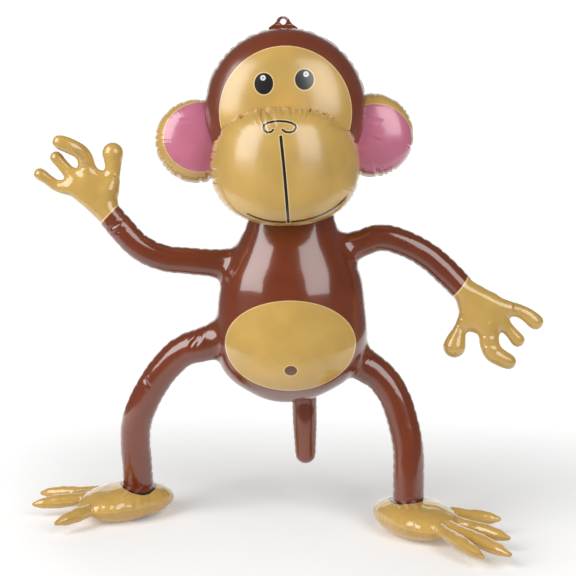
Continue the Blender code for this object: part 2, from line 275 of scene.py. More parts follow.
def at(x, y, z):
    return Vector((x, y, z)) * STATURE


def scatter(number, seed):
    """A fixed share from 0 to 1 for a whole number."""
    return (math.sin(number * 12.9898 + seed * 78.233) * 43758.5453) % 1.0


def smooth_step(value, low, high):
    share = min(1.0, max(0.0, (value - low) / (high - low)))
    return share * share * (3 - 2 * share)


def gather(turn, width, least, seed, around=None):
    """How strongly the nearest pucker of a row pulls here, each pucker by its own share."""
    nearest = round(turn)
    key = nearest % around if around else nearest
    pull = math.exp(-(((turn - nearest) / width) ** 2))
    return pull * (least + (1 - least) * scatter(key, seed))


def mesh_from(form, name):
    """Turns a form under construction into a mesh."""
    mesh = bpy.data.meshes.new(name)
    form.to_mesh(mesh)
    form.free()
    return mesh


def mesh_of(holder):
    """The finished mesh of a curve or modified object, which is then removed."""
    graph = bpy.context.evaluated_depsgraph_get()
    mesh = bpy.data.meshes.new_from_object(holder.evaluated_get(graph))
    bpy.data.objects.remove(holder)
    return mesh


# Forms

def pillow(width, depth, height, power, around, along, fullness=PILLOW_POWER):
    """A two-panel envelope, with its place on the panels kept for each vertex."""
    form = bmesh.new()
    bmesh.ops.create_uvsphere(form, u_segments=around, v_segments=along, radius=1.0)
    bmesh.ops.rotate(form, verts=form.verts, matrix=Matrix.Rotation(math.pi / 2, 3, "X"))
    step = math.pi / along
    spots = {}
    for vert in form.verts:
        x, y, z = vert.co
        angle = math.atan2(z, x)
        latitude = math.asin(max(-1.0, min(1.0, y)))
        rows = abs(latitude) / step
        flange = 0.0
        thin = 0.0
        if rows < 0.5:
            flange = FLANGE
        elif rows < 1.5:
            flange = FLANGE * 0.8
            thin = FLANGE_HALF
        if rows < 1.5:
            ring = 1.0
            thick = math.copysign(thin, y)
        else:
            inner = (abs(latitude) - 1.7 * step) / (math.pi / 2 - 1.7 * step) * math.pi / 2
            ring = math.cos(inner) ** (2 / fullness) if inner < math.pi / 2 - 1e-6 else 0.0
            thick = math.copysign(math.sin(inner) ** (2 / fullness) * depth / 2 + FLANGE_HALF, y)
        out_x = math.copysign(abs(math.cos(angle)) ** (2 / power), math.cos(angle))
        out_z = math.copysign(abs(math.sin(angle)) ** (2 / power), math.sin(angle))
        reach = math.hypot(out_x * width / 2, out_z * height / 2)
        grow = ring + (flange - FLANGE * 0.5) / reach * (1.0 if ring > 0.9 else ring)
        vert.co = (out_x * width / 2 * grow, thick, out_z * height / 2 * grow)
        inland = math.hypot(thick, (1 - ring) * reach)
        spots[vert] = (angle, inland, reach)
    return form, spots


def pucker(form, spots, pinches, seed, deep, lobe, run=0.008, topside=0.0):
    """Gathers the film along the weld: creases running in from the rim, and a scalloped edge."""
    form.normal_update()
    moves = []
    for vert, (angle, inland, reach) in spots.items():
        turn = angle / (2 * math.pi) * pinches
        turn += 0.8 * math.sin(3 * angle + seed) + 0.5 * math.sin(7 * angle + 2 * seed)
        nearest = round(turn)
        gap = abs(turn - nearest)
        arc = gap * 2 * math.pi / pinches * reach
        key = nearest % pinches
        amount = (0.50 + 0.65 * scatter(key, seed)) * (1 + topside * (math.sin(angle) - 0.3))
        length = run * (0.5 + scatter(key, seed + 3))
        lean = 0.25 * (scatter(key, seed + 5) - 0.5) * inland
        cut = abs(arc - lean)
        fade = math.exp(-(((inland - 0.8 * length) / length) ** 2))
        crease = math.exp(-((cut / CREASE_WIDTH) ** 1.5)) * fade
        shoulder = 0.45 * math.exp(-(((cut - SHOULDER_AWAY) / SHOULDER_WIDTH) ** 2)) * fade
        move = -vert.normal * deep * amount * (crease - shoulder)
        scallop = (1 - math.sin(math.pi * gap) ** 0.8) * math.exp(-inland / SCALLOP_RUN)
        move -= Vector((math.cos(angle), 0.0, math.sin(angle))) * lobe * (0.3 + 0.7 * amount) * scallop
        if inland < FLANGE:
            move.y += 0.0005 * math.sin(2 * math.pi * turn + 4 * scatter(key, seed))
        moves.append((vert, move))
    for vert, move in moves:
        vert.co += move


def curve_tube(points, radii):
    """A round tube of changing thickness along a smooth route, closed by round ends."""
    curve = bpy.data.curves.new("tube", "CURVE")
    curve.dimensions = "3D"
    curve.bevel_depth = 1.0
    curve.bevel_resolution = 8
    curve.use_fill_caps = True
    curve.resolution_u = 10
    spline = curve.splines.new("BEZIER")
    spline.bezier_points.add(len(points) - 1)
    for knot, point, radius in zip(spline.bezier_points, points, radii):
        knot.co = point
        knot.radius = radius
        knot.handle_left_type = "AUTO"
        knot.handle_right_type = "AUTO"
    holder = bpy.data.objects.new("tube", curve)
    parts.objects.link(holder)
    mesh = mesh_of(holder)
    form = bmesh.new()
    form.from_mesh(mesh)
    bmesh.ops.remove_doubles(form, verts=form.verts, dist=0.00001)
    for spot, radius in ((points[0], radii[0]), (points[-1], radii[-1])):
        ball = bmesh.ops.create_uvsphere(form, u_segments=24, v_segments=16, radius=radius * 0.98)
        bmesh.ops.translate(form, verts=ball["verts"], vec=spot)
    bmesh.ops.recalc_face_normals(form, faces=form.faces)
    form.to_mesh(mesh)
    form.free()
    return mesh


def smoothed(points, parts_each):
    """Points along a smooth line through the given points."""
    ends = [points[0], *points, points[-1]]
    line = []
    for before, start, end, after in zip(ends, ends[1:], ends[2:], ends[3:]):
        for part in range(parts_each):
            t = part / parts_each
            spot = []
            for a, b, c, d in zip(before, start, end, after):
                bend = (2 * a - 5 * b + 4 * c - d) * t**2 + (3 * b - a - 3 * c + d) * t**3
                spot.append(0.5 * (2 * b + (c - a) * t + bend))
            line.append(tuple(spot))
    line.append(points[-1])
    return line


def torso_mesh():
    form = bmesh.new()
    profile = [(0.0, TORSO_PROFILE[0][1]), *smoothed(TORSO_PROFILE, 5)]
    verts = [form.verts.new((radius * STATURE, 0, z * STATURE)) for radius, z in profile]
    edges = [form.edges.new(pair) for pair in zip(verts, verts[1:])]
    bmesh.ops.spin(
        form,
        geom=verts + edges,
        axis=(0, 0, 1),
        cent=(0, 0, 0),
        steps=96,
        angle=2 * math.pi,
        use_merge=True,
    )
    bmesh.ops.remove_doubles(form, verts=form.verts, dist=0.0001)
    bmesh.ops.recalc_face_normals(form, faces=form.faces)
    widest = 2 * STATURE * max(radius for radius, _ in TORSO_PROFILE)
    waist = TORSO_WAIST * STATURE
    fall = waist - TORSO_PROFILE[-1][1] * STATURE
    for vert in form.verts:
        vert.co.y *= TORSO_DEPTH / widest
        vert.co.x += TORSO_SIDE * STATURE
        vert.co.x -= TORSO_SWAY * STATURE * max(0.0, (waist - vert.co.z) / fall) ** 2
    return mesh_from(form, "torso")


def plain_pillow(width, depth, height, around, along):
    form = bmesh.new()
    bmesh.ops.create_uvsphere(form, u_segments=around, v_segments=along, radius=1.0)
    bmesh.ops.rotate(form, verts=form.verts, matrix=Matrix.Rotation(math.pi / 2, 3, "X"))
    for vert in form.verts:
        x, y, z = vert.co
        ring = math.hypot(x, z)
        across = ring ** (2 / PILLOW_POWER)
        thick = math.copysign(abs(y) ** (2 / PILLOW_POWER), y)
        if ring > 0:
            x, z = x / ring, z / ring
        vert.co = (x * across * width / 2, thick * depth / 2, z * across * height / 2)
    return mesh_from(form, "pad")


def grown_together(meshes, cell, floor=False):
    """One skin round several overlapping forms, softened where they meet."""
    form = bmesh.new()
    for mesh in meshes:
        form.from_mesh(mesh)
    holder = bpy.data.objects.new("whole", mesh_from(form, "whole"))
    parts.objects.link(holder)
    blend = holder.modifiers.new("blend", "REMESH")
    blend.mode = "VOXEL"
    blend.voxel_size = cell
    soften = holder.modifiers.new("soften", "SMOOTH")
    soften.factor = 0.5
    soften.iterations = SOFTENING
    form = bmesh.new()
    form.from_mesh(mesh_of(holder))
    if floor:
        cut = bmesh.ops.bisect_plane(
            form,
            geom=form.verts[:] + form.edges[:] + form.faces[:],
            dist=0.00001,
            plane_co=(0, 0, 0.0001),
            plane_no=(0, 0, 1),
            clear_inner=True,
        )
        rim = [item for item in cut["geom_cut"] if isinstance(item, bmesh.types.BMEdge)]
        bmesh.ops.holes_fill(form, edges=rim, sides=0)
    bmesh.ops.recalc_face_normals(form, faces=form.faces)
    return form


class Routes:
    """Finds the nearest point of the limbs' routes, for puckers and creases that follow them."""

    def __init__(self, routes):
        self.samples = []
        for number, (points, radii) in enumerate(routes):
            run = 0.0
            for here, there, first, last in zip(points, points[1:], radii, radii[1:]):
                length = (there - here).length
                way = (there - here).normalized()
                steps = max(1, int(length / 0.0015))
                for step in range(steps):
                    share = step / steps
                    spot = here.lerp(there, share)
                    radius = first + (last - first) * share
                    self.samples.append((spot, way, run + length * share, radius, number))
                run += length
        self.tree = KDTree(len(self.samples))
        for index, sample in enumerate(self.samples):
            self.tree.insert(sample[0], index)
        self.tree.balance()

    def nearest(self, spot):
        _, index, _ = self.tree.find(spot)
        return self.samples[index]


def finish_piece(name, form, materials, nodes):
    """Makes the object, moves it to the frame's place and hides the solids it stands for."""
    bmesh.ops.translate(form, verts=form.verts, vec=SHIFT)
    for face in form.faces:
        face.smooth = True
    mesh = mesh_from(form, name)
    for material in materials:
        mesh.materials.append(material)
    piece = bpy.data.objects.new(name, mesh)
    parts.objects.link(piece)
    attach(piece, "root")
    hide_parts(*nodes)
    return piece


# Materials

def linear(code):
    """An sRGB hex colour as linear red, green, blue and alpha."""
    channels = [int(code[i : i + 2], 16) / 255 for i in (0, 2, 4)]
    return (*[c / 12.92 if c <= 0.04045 else ((c + 0.055) / 1.055) ** 2.4 for c in channels], 1.0)


BROWN = linear("783314")
DARK_BROWN = linear("2A120A")
TAN = linear("D0A858")
CREAM = linear("F0D298")
PINK = linear("CD748F")
BLACK = linear("060505")
NAVEL_BROWN = linear("663E2D")
# A darker copy of the tan for the feet's lower panels: painted shade
SHADED_LOWER_TAN = linear("BD9442")
WHITE = linear("E8E8E8")
GREY = linear("8A8A8A")


def add(tree, kind, inputs=(), output=0, **settings):
    """Adds a node, sets what it is given and links or fills its inputs."""
    made = tree.nodes.new("ShaderNode" + kind)
    for key, value in settings.items():
        setattr(made, key, value)
    for socket, value in inputs:
        if isinstance(value, bpy.types.NodeSocket):
            tree.links.new(value, made.inputs[socket])
        else:
            made.inputs[socket].default_value = value
    return made.outputs[output]


def maths(tree, operation, *values, clamp=False):
    return add(tree, "Math", list(enumerate(values)), operation=operation, use_clamp=clamp)


def coordinate(tree, point, axis):
    return add(tree, "SeparateXYZ", [(0, point)], output=axis)


def ellipse(tree, point, centre, halves, plan=False):
    """Distance inside an ellipse on the front view, or on the floor plan; negative outside."""
    x, level = centre
    place = (x + SHIFT.x, level + SHIFT.y, 0.0) if plan else (x + SHIFT.x, 0.0, level)
    sizes = (halves[0], halves[1], 1000.0) if plan else (halves[0], 1000.0, halves[1])
    spot = add(tree, "Mapping", [(0, point), (1, place), (3, sizes)], vector_type="TEXTURE")
    away = add(tree, "VectorMath", [(0, spot)], output=1, operation="LENGTH")
    return maths(tree, "MULTIPLY", maths(tree, "SUBTRACT", 1.0, away), min(halves))


def beyond(tree, point, start, end):
    """Distance past the line from start to end, to its left, on the front view."""
    way = (Vector(end) - Vector(start)).normalized()
    off = (-way.y, way.x)
    level = off[0] * (start[0] + SHIFT.x) + off[1] * start[1]
    along = add(
        tree, "VectorMath", [(0, point), (1, (off[0], 0.0, off[1]))], output=1, operation="DOT_PRODUCT"
    )
    return maths(tree, "SUBTRACT", along, level)


def stroke(tree, flat, stations, half_width):
    """Distance inside a drawn line through the stations, on the front view."""
    nearest = None
    spots = [Vector((x + SHIFT.x, 0.0, z)) for x, z in stations]
    for start, end in zip(spots, spots[1:]):
        run = end - start
        offset = add(tree, "VectorMath", [(0, flat), (1, start)], operation="SUBTRACT")
        dot = add(tree, "VectorMath", [(0, offset), (1, run)], output=1, operation="DOT_PRODUCT")
        share = maths(tree, "MULTIPLY", dot, 1 / run.length_squared, clamp=True)
        foot = add(tree, "VectorMath", [(0, run), (3, share)], operation="SCALE")
        away = add(tree, "VectorMath", [(0, offset), (1, foot)], output=1, operation="DISTANCE")
        nearest = away if nearest is None else maths(tree, "MINIMUM", nearest, away)
    return maths(tree, "SUBTRACT", half_width, nearest)


def printed(tree, under, inside, ink, edge=None, edge_width=0.0011, blur=0.00025):
    """Prints a colour where the distance is positive, with a light line round it."""
    colour = under
    if edge is not None:
        line = add(tree, "MapRange", [(0, inside), (1, -edge_width - blur), (2, -edge_width + blur)])
        colour = add(tree, "Mix", [(0, line), (6, colour), (7, edge)], output=2, data_type="RGBA")
    fill = add(tree, "MapRange", [(0, inside), (1, -blur), (2, blur)])
    return add(tree, "Mix", [(0, fill), (6, colour), (7, ink)], output=2, data_type="RGBA")


def toned(tree, colour, point, amount=0.10, size=0.045):
    """The slow change of tone that stretched film has where it is thicker or thinner."""
    cloud = add(tree, "TexNoise", [("Vector", point), ("Scale", 1 / size), ("Detail", 2.0)])
    level = add(tree, "MapRange", [(0, cloud), (1, 0.3), (2, 0.7), (3, 1 - amount), (4, 1 + amount)])
    shade = add(tree, "CombineColor", [(0, level), (1, level), (2, level)])
    pair = [(0, 1.0), (6, colour), (7, shade)]
    return add(tree, "Mix", pair, output=2, data_type="RGBA", blend_type="MULTIPLY")


def vinyl(name, paint, roughness=0.26, coat=0.10):
    """Blow-up PVC film, printed behind a clear layer: a crisp gloss over a softer one."""
    material = bpy.data.materials.new(name)
    material.use_nodes = True
    tree = material.node_tree
    shader = tree.nodes["Principled BSDF"]
    coordinates = tree.nodes.new("ShaderNodeTexCoord")
    point = coordinates.outputs["Object"]
    colour = toned(tree, paint(tree, point), point)
    tree.links.new(colour, shader.inputs["Base Color"])
    shader.inputs["Roughness"].default_value = roughness
    shader.inputs["IOR"].default_value = 1.53
    shader.inputs["Coat Weight"].default_value = 1.0
    shader.inputs["Coat Roughness"].default_value = coat
    # Film ripple about 9 mm across and a fraction of a millimetre high
    ripple = add(tree, "TexNoise", [("Vector", point), ("Scale", 1 / 0.009), ("Detail", 1.0)])
    bump = add(tree, "Bump", [("Height", ripple), ("Strength", 0.10), ("Distance", 0.0006)])
    tree.links.new(bump, shader.inputs["Normal"])
    return material


def arc(centre, halves, start, stop, steps):
    """Stations along part of an ellipse on the front view, by degrees from its right end."""
    turns = [math.radians(start + (stop - start) * step / steps) for step in range(steps + 1)]
    x, level = centre
    return [(x + halves[0] * math.cos(turn), level + halves[1] * math.sin(turn)) for turn in turns]


# Printed marks on the front view, in metres from the figure's own middle
FACE = ((-0.003, 0.5375), (0.081, 0.0805))
EYES = [
    ((-0.0295, 0.5725), (0.0115, 0.013), (-0.0305, 0.5795)),
    ((0.020, 0.5775), (0.0115, 0.0125), (0.022, 0.584)),
]
LEFT_NOSTRIL = arc((-0.023, 0.518), (0.006, 0.005), 340, 180, 4)
NOSE_TOP = arc((-0.010, 0.5195), (0.0195, 0.007), 185, -5, 8)
RIGHT_NOSTRIL = arc((0.001, 0.518), (0.008, 0.005), 0, -160, 4)
NOSE = LEFT_NOSTRIL + NOSE_TOP + RIGHT_NOSTRIL
LIP_LINE = [(-0.0085, 0.508), (-0.0045, 0.469), (-0.0015, 0.433), (0.0005, 0.4065)]
MOUTH_LEFT = arc((-0.006, 0.4605), (0.075, 0.0545), -125, -90, 4)
MOUTH_RIGHT = arc((-0.006, 0.463), (0.088, 0.057), -81, -12, 8)
MOUTH = MOUTH_LEFT + MOUTH_RIGHT
BELLY = ((0.003, 0.249), (0.0815, 0.0575))
NAVEL = ((0.0035, 0.2195), (0.008, 0.0065))
EAR_PRINTS = {
    "ear_left": ((-0.110, 0.508), (0.047, 0.0435)),
    "ear_right": ((0.1095, 0.5055), (0.0475, 0.044)),
}
WRISTS = {
    "left": ((-0.239, 0.400), (-0.2205, 0.4195)),
    "right": ((0.2305, 0.330), (0.212, 0.305)),
}
CUFF_AHEAD = {"left": 0.010, "right": 0.006}  # how far the legs' ends run forward on the feet


def ahead_of(tree, point, y):
    """How far a point stands in front of a plane across the figure, in metres."""
    return maths(tree, "SUBTRACT", y + SHIFT.y, coordinate(tree, point, "Y"))


def head_paint(tree, point):
    face = maths(tree, "MINIMUM", ellipse(tree, point, *FACE), ahead_of(tree, point, -0.004))
    colour = printed(tree, BROWN, face, TAN, CREAM, 0.0010)
    for centre, halves, light in EYES:
        pupil = maths(tree, "MINIMUM", ellipse(tree, point, centre, halves), ahead_of(tree, point, -0.01))
        colour = printed(tree, colour, pupil, BLACK, CREAM, 0.0013)
        spark = maths(tree, "MINIMUM", ellipse(tree, point, light, (0.0034, 0.0034)), pupil)
        colour = printed(tree, colour, spark, WHITE)
        dot = maths(tree, "MINIMUM", ellipse(tree, point, light, (0.0011, 0.0011)), pupil)
        colour = printed(tree, colour, dot, GREY)
    return colour


def muzzle_paint(tree, point):
    flat = add(tree, "VectorMath", [(0, point), (1, (1.0, 0.0, 1.0))], operation="MULTIPLY")
    front = ahead_of(tree, point, -HEAD_DEPTH / 2 - 0.012)
    colour = TAN
    for stations, half in ((MOUTH, 0.0011), (LIP_LINE, 0.0018), (NOSE, 0.0013)):
        line = maths(tree, "MINIMUM", stroke(tree, flat, stations, half), front)
        edge = None if stations is MOUTH else CREAM
        colour = printed(tree, colour, line, BLACK, edge, 0.0010)
    return colour


def ear_paint(name):
    def paint(tree, point):
        print_inside = ellipse(tree, point, *EAR_PRINTS[name])
        inside = maths(tree, "MINIMUM", print_inside, ahead_of(tree, point, -0.0012))
        return printed(tree, TAN, inside, PINK, CREAM, 0.0007)

    return paint


def body_paint(tree, point):
    front = ahead_of(tree, point, -0.02)
    belly = maths(tree, "MINIMUM", ellipse(tree, point, *BELLY), front)
    colour = printed(tree, BROWN, belly, TAN, CREAM, 0.0009)
    navel = maths(tree, "MINIMUM", ellipse(tree, point, *NAVEL), front)
    colour = printed(tree, colour, navel, NAVEL_BROWN, CREAM, 0.0008)
    aside = coordinate(tree, point, "X")
    level = coordinate(tree, point, "Z")
    left = beyond(tree, point, *WRISTS["left"])
    left = maths(tree, "MINIMUM", left, maths(tree, "SUBTRACT", level, 0.37))
    right = beyond(tree, point, *WRISTS["right"][::-1])
    right = maths(tree, "MULTIPLY", right, -1.0)
    right = maths(tree, "MINIMUM", right, maths(tree, "SUBTRACT", aside, 0.18))
    right = maths(tree, "MINIMUM", right, maths(tree, "SUBTRACT", level, 0.20))
    for hand in (left, right):
        colour = printed(tree, colour, hand, TAN, CREAM, 0.0018)
    return colour


def foot_paint(side):
    def paint(tree, point):
        # Painted shade: below the side weld, the foot's lower panel is printed a darker tan
        shaded_lower = maths(tree, "SUBTRACT", FOOT_WELD, coordinate(tree, point, "Z"))
        colour = printed(tree, TAN, shaded_lower, SHADED_LOWER_TAN)
        x, y = ANKLES[side]
        cuff = (x * STATURE, y * STATURE - CUFF_AHEAD[side])
        ankle = ellipse(tree, point, cuff, (0.0215, 0.0205 + CUFF_AHEAD[side]), plan=True)
        return printed(tree, colour, ankle, BROWN, DARK_BROWN, 0.0030)

    return paint


def plain_paint(colour):
    return lambda tree, point: colour


# Pieces

def make_head():
    form, spots = pillow(HEAD_WIDTH, HEAD_DEPTH, HEAD_HEIGHT, power=2, around=640, along=84)
    pucker(form, spots, HEAD_PINCHES, 1.0, deep=0.0010, lobe=0.0013)
    bmesh.ops.translate(form, verts=form.verts, vec=MIDDLE)
    film = vinyl("printed_pvc_film_head", head_paint, 0.34, 0.20)
    finish_piece("head_envelope", form, [film], ["head"])


def make_muzzle():
    sizes = (MUZZLE_WIDTH, MUZZLE_DEPTH, MUZZLE_HEIGHT, MUZZLE_POWER)
    form, spots = pillow(*sizes, around=640, along=88, fullness=MUZZLE_FULLNESS)
    pucker(form, spots, MUZZLE_PINCHES, 2.0, deep=0.0034, lobe=0.0014, run=0.014, topside=0.9)
    front = Vector((MUZZLE_SIDE * STATURE, -HEAD_DEPTH / 2 - MUZZLE_STEP, -MUZZLE_DROP * STATURE))
    for vert in form.verts:
        vert.co.y += vert.co.x**2 / (2 * MUZZLE_WRAP)
    bmesh.ops.translate(form, verts=form.verts, vec=Vector((0, 0, MIDDLE.z)) + front)
    film = vinyl("printed_pvc_film_muzzle", muzzle_paint, 0.34, 0.18)
    finish_piece("muzzle_envelope", form, [film], ["muzzle"])


# Creases: middle, direction across the front view in degrees, half length, depth
EAR_CREASES = [
    ((0.1085, 0.5285), 4, 0.009, 0.0009),
    ((0.107, 0.506), -4, 0.010, 0.0009),
    ((-0.128, 0.529), 12, 0.007, 0.0006),
    ((-0.125, 0.483), -20, 0.008, 0.0006),
]


def press(form, creases):
    """Presses short wavy creases into the front of a form."""
    form.normal_update()
    moves = []
    for vert in form.verts:
        if vert.normal.y > 0.1:
            continue
        for (x, level), turn, half, deep in creases:
            away_x = vert.co.x - x
            away_z = vert.co.z - level
            if abs(away_x) > 0.02 or abs(away_z) > 0.02:
                continue
            angle = math.radians(turn)
            along = away_x * math.cos(angle) + away_z * math.sin(angle)
            across = -away_x * math.sin(angle) + away_z * math.cos(angle)
            across += 0.0012 * math.sin(along * 260)
            share = (across / 0.0022) ** 2
            shape = (1 - share) * math.exp(-share / 2) * math.exp(-((along / half) ** 4))
            moves.append((vert, -vert.normal * deep * shape))
    for vert, move in moves:
        vert.co += move


def make_ears():
    for name, way in (("ear_left", -1), ("ear_right", 1)):
        form, spots = pillow(EAR_DIAMETER, EAR_DEPTH, EAR_DIAMETER, power=2, around=384, along=56)
        pucker(form, spots, EAR_PINCHES, 3.0 + way, deep=0.0015, lobe=0.0012, topside=-0.6)
        aside = way * (HEAD_WIDTH / 2 + EAR_STANDOFFS[name])
        place = MIDDLE + Vector((aside, EAR_BACK, -EAR_DROPS[name] * STATURE))
        bmesh.ops.translate(form, verts=form.verts, vec=place)
        press(form, EAR_CREASES)
        film = vinyl("printed_pvc_film_" + name, ear_paint(name), 0.30, 0.13)
        finish_piece(name + "_envelope", form, [film], [name])


def hand_webs(side):
    """Film stretched from the wrist to each finger, which fans the palm out."""
    wrist = at(*ARMS[side][-1])
    webs = []
    digits = [(route, FINGER_THICKNESS, shares) for route, shares in FINGERS[side]]
    digits.append((THUMBS[side][0], THUMB_THICKNESS, THUMBS[side][1]))
    for route, thickness, shares in digits:
        root = at(*route[0])
        far = thickness / 2 * shares[0]
        webs.append(curve_tube([wrist, wrist.lerp(root, 0.5), root], [WRIST_THICKNESS / 2, 0.0135, far]))
    return webs


def limb_routes():
    routes = []
    for side in ("left", "right"):
        arm = [at(*point) for point in ARMS[side]]
        routes.append((arm, [ARM_THICKNESS / 2 * share for share in ARM_SHARES] + [WRIST_THICKNESS / 2]))
        leg = [at(*point) for point in LEGS[side]]
        shares = LEG_SHARES + [1.0] * (len(leg) - len(LEG_SHARES))
        routes.append((leg, [LEG_THICKNESS / 2 * share for share in shares]))
        digits = [(route, FINGER_THICKNESS, shares) for route, shares in FINGERS[side]]
        digits.append((THUMBS[side][0], THUMB_THICKNESS, THUMBS[side][1]))
        for route, thickness, shares in digits:
            radii = [thickness / 2 * share + SMOOTHING_LOSS for share in shares]
            routes.append(([at(*point) for point in route], radii))
    return routes


# Where the film runs on smoothly from one form to the next: middle, reach and number of
# smoothing passes, whose reach shrinks to leave no border
FILLETS = [
    ((-0.078, 0.344), 0.042, 56),
    ((0.070, 0.362), 0.042, 56),
    ((-0.088, 0.252), 0.046, 56),
    ((0.086, 0.232), 0.046, 56),
    ((-0.252, 0.444), 0.036, 8),
    ((0.249, 0.285), 0.036, 8),
    ((-0.275, 0.458), 0.090, 9),
    ((0.272, 0.270), 0.090, 9),
]
LONG_LIMBS = (0, 1, 6, 7)  # the arms and legs among the routes

# Creases of the limbs, given like the ears'
CREASES = [
    ((-0.120, 0.2485), 62, 0.014, 0.0016),
    ((-0.1155, 0.247), 70, 0.013, 0.0012),
    ((-0.185, 0.1925), 135, 0.009, 0.0010),
    ((0.106, 0.227), 40, 0.010, 0.0009),
    ((-0.221, 0.396), 45, 0.011, 0.0014),
    ((-0.215, 0.390), 38, 0.008, 0.0010),
    ((-0.2595, 0.485), -35, 0.008, 0.0016),
    ((-0.261, 0.470), 20, 0.008, 0.0010),
    ((-0.2225, 0.456), 10, 0.009, 0.0010),
    ((0.259, 0.2435), 8, 0.009, 0.0018),
    ((0.2585, 0.248), 5, 0.008, 0.0010),
    ((0.290, 0.290), 100, 0.008, 0.0016),
    ((0.2945, 0.289), 100, 0.006, 0.0010),
    ((0.220, 0.2655), -35, 0.008, 0.0016),
    ((0.2215, 0.269), -35, 0.007, 0.0010),
    ((0.256, 0.256), 10, 0.009, 0.0008),
]


def make_body():
    routes = limb_routes()
    meshes = [torso_mesh()] + [curve_tube(points, radii) for points, radii in routes]
    for side in ("left", "right"):
        palm = plain_pillow(PALM_LENGTH, PALM_DEPTH, PALM_WIDTH, around=32, along=20)
        palm.transform(Matrix.Rotation(PALM_TURNS[side], 4, "Y"))
        palm.transform(Matrix.Translation(at(*PALMS[side])))
        meshes.append(palm)
        meshes.extend(hand_webs(side))
    form = grown_together(meshes, BODY_CELL)
    for middle, reach, times in FILLETS:
        spot = Vector((middle[0], 0.0, middle[1]))
        near = [((vert.co - spot).length, vert) for vert in form.verts if (vert.co - spot).length < reach]
        for step in range(times):
            edge = reach * (1 - 0.55 * step / times)
            inner = [vert for away, vert in near if away < edge]
            bmesh.ops.smooth_vert(
                form, verts=inner, factor=0.5, use_axis_x=True, use_axis_y=True, use_axis_z=True
            )
    paths = Routes(routes)
    form.normal_update()
    moves = []
    for vert in form.verts:
        spot = vert.co
        normal = vert.normal
        centre, way, run, radius, number = paths.nearest(spot)
        offset = spot - centre
        move = normal * 0.00045 * noise.noise(spot * 26)
        if number in LONG_LIMBS and offset.length < radius * 1.35:
            weld = math.exp(-((offset.y / 0.0022) ** 2))
            pinch = gather(run / LIMB_PINCH, 0.17, 0.3, number)
            near = math.exp(-((offset.y / 0.006) ** 2))
            move += normal * (0.00045 * weld - 0.0009 * pinch * near)
        elif abs(spot.x) < 0.11:
            turn = spot.z / TORSO_PINCH + 0.4 * math.sin(spot.z * 90)
            pinch = gather(turn, 0.2, 0.2, 20 + (spot.x > 0))
            move -= normal * 0.0012 * pinch * math.exp(-((spot.y / 0.008) ** 2))
        moves.append((vert, move))
    for vert, move in moves:
        vert.co += move
    press(form, CREASES)
    film = vinyl("printed_pvc_film_body", body_paint, 0.20, 0.06)
    finish_piece("body_envelope", form, [film], ["body"])


def make_feet():
    for side in ("left", "right"):
        pad = plain_pillow(PAD_LENGTH, PAD_WIDTH, PAD_HEIGHT, around=56, along=32)
        pad.transform(Matrix.Translation((PAD_AHEAD, 0, PAD_HEIGHT / 2 - SOLE_SINK)))
        meshes = [pad]
        for angle, reach, tip_height in TOES[side]:
            root = at(TOE_ROOT * math.cos(angle), TOE_ROOT * math.sin(angle), TOE_ROOT_HEIGHT)
            tip = at(reach * math.cos(angle), reach * math.sin(angle), tip_height)
            points = [root.lerp(tip, stop) for stop in TOE_STOPS]
            meshes.append(curve_tube(points, [TOE_THICKNESS / 2 * share for share in TOE_FILM_SHARES]))
        form = grown_together(meshes, FOOT_CELL, floor=True)
        form.normal_update()
        moves = []
        for vert in form.verts:
            x, y, z = vert.co
            if z < 0.002:
                continue
            out = math.hypot(x - PAD_AHEAD, y)
            angle = math.atan2(y, x - PAD_AHEAD)
            level = z - FOOT_WELD
            on_pad = 1 - smooth_step(out, 0.066, 0.074)
            weld = math.exp(-((level / 0.0011) ** 2)) * on_pad
            turn = angle / (2 * math.pi) * FOOT_PINCHES + 0.3 * math.sin(3 * angle)
            pinch = gather(turn, 0.18, 0.3, 9, around=FOOT_PINCHES)
            near = math.exp(-((level / 0.008) ** 2)) * smooth_step(out, 0.030, 0.042) * on_pad
            waves = 0.0004 * noise.noise(vert.co * 30) + 0.0005 * noise.noise(vert.co * 110)
            moves.append((vert, vert.normal * (0.0006 * weld - 0.0013 * pinch * near + waves)))
        for vert, move in moves:
            vert.co += move
        ankle_x, ankle_y = ANKLES[side]
        place = Matrix.Translation(at(ankle_x, ankle_y, 0)) @ Matrix.Rotation(HEADINGS[side], 4, "Z")
        bmesh.ops.transform(form, matrix=place, verts=form.verts)
        film = vinyl("printed_pvc_film_foot_" + side, foot_paint(side), 0.20, 0.07)
        finish_piece("foot_" + side + "_envelope", form, [film], ["foot_" + side])


def make_tail():
    root = at(*TAIL_ROOT)
    tip = root + at(*TAIL_LEAN, 0) - Vector((0, 0, TAIL_DROP))
    start = root + Vector((0, -TAIL_BEND_BACK, TAIL_BEND_RISE))
    points = [start, root, root.lerp(tip, 0.5), tip]
    radii = [TAIL_THICKNESS / 2 * share for share in TAIL_SHARES]
    form = grown_together([curve_tube(points, radii)], TAIL_CELL)
    form.normal_update()
    for vert in form.verts:
        aside = vert.co.y - points[1].y - 0.004
        turn = vert.co.z / TAIL_PINCH
        pinch = math.exp(-(((turn - round(turn)) / 0.2) ** 2)) * math.exp(-((aside / 0.004) ** 2))
        vert.co -= vert.normal * 0.0007 * pinch
    finish_piece("tail_envelope", form, [vinyl("brown_pvc_film", plain_paint(BROWN))], ["tail"])


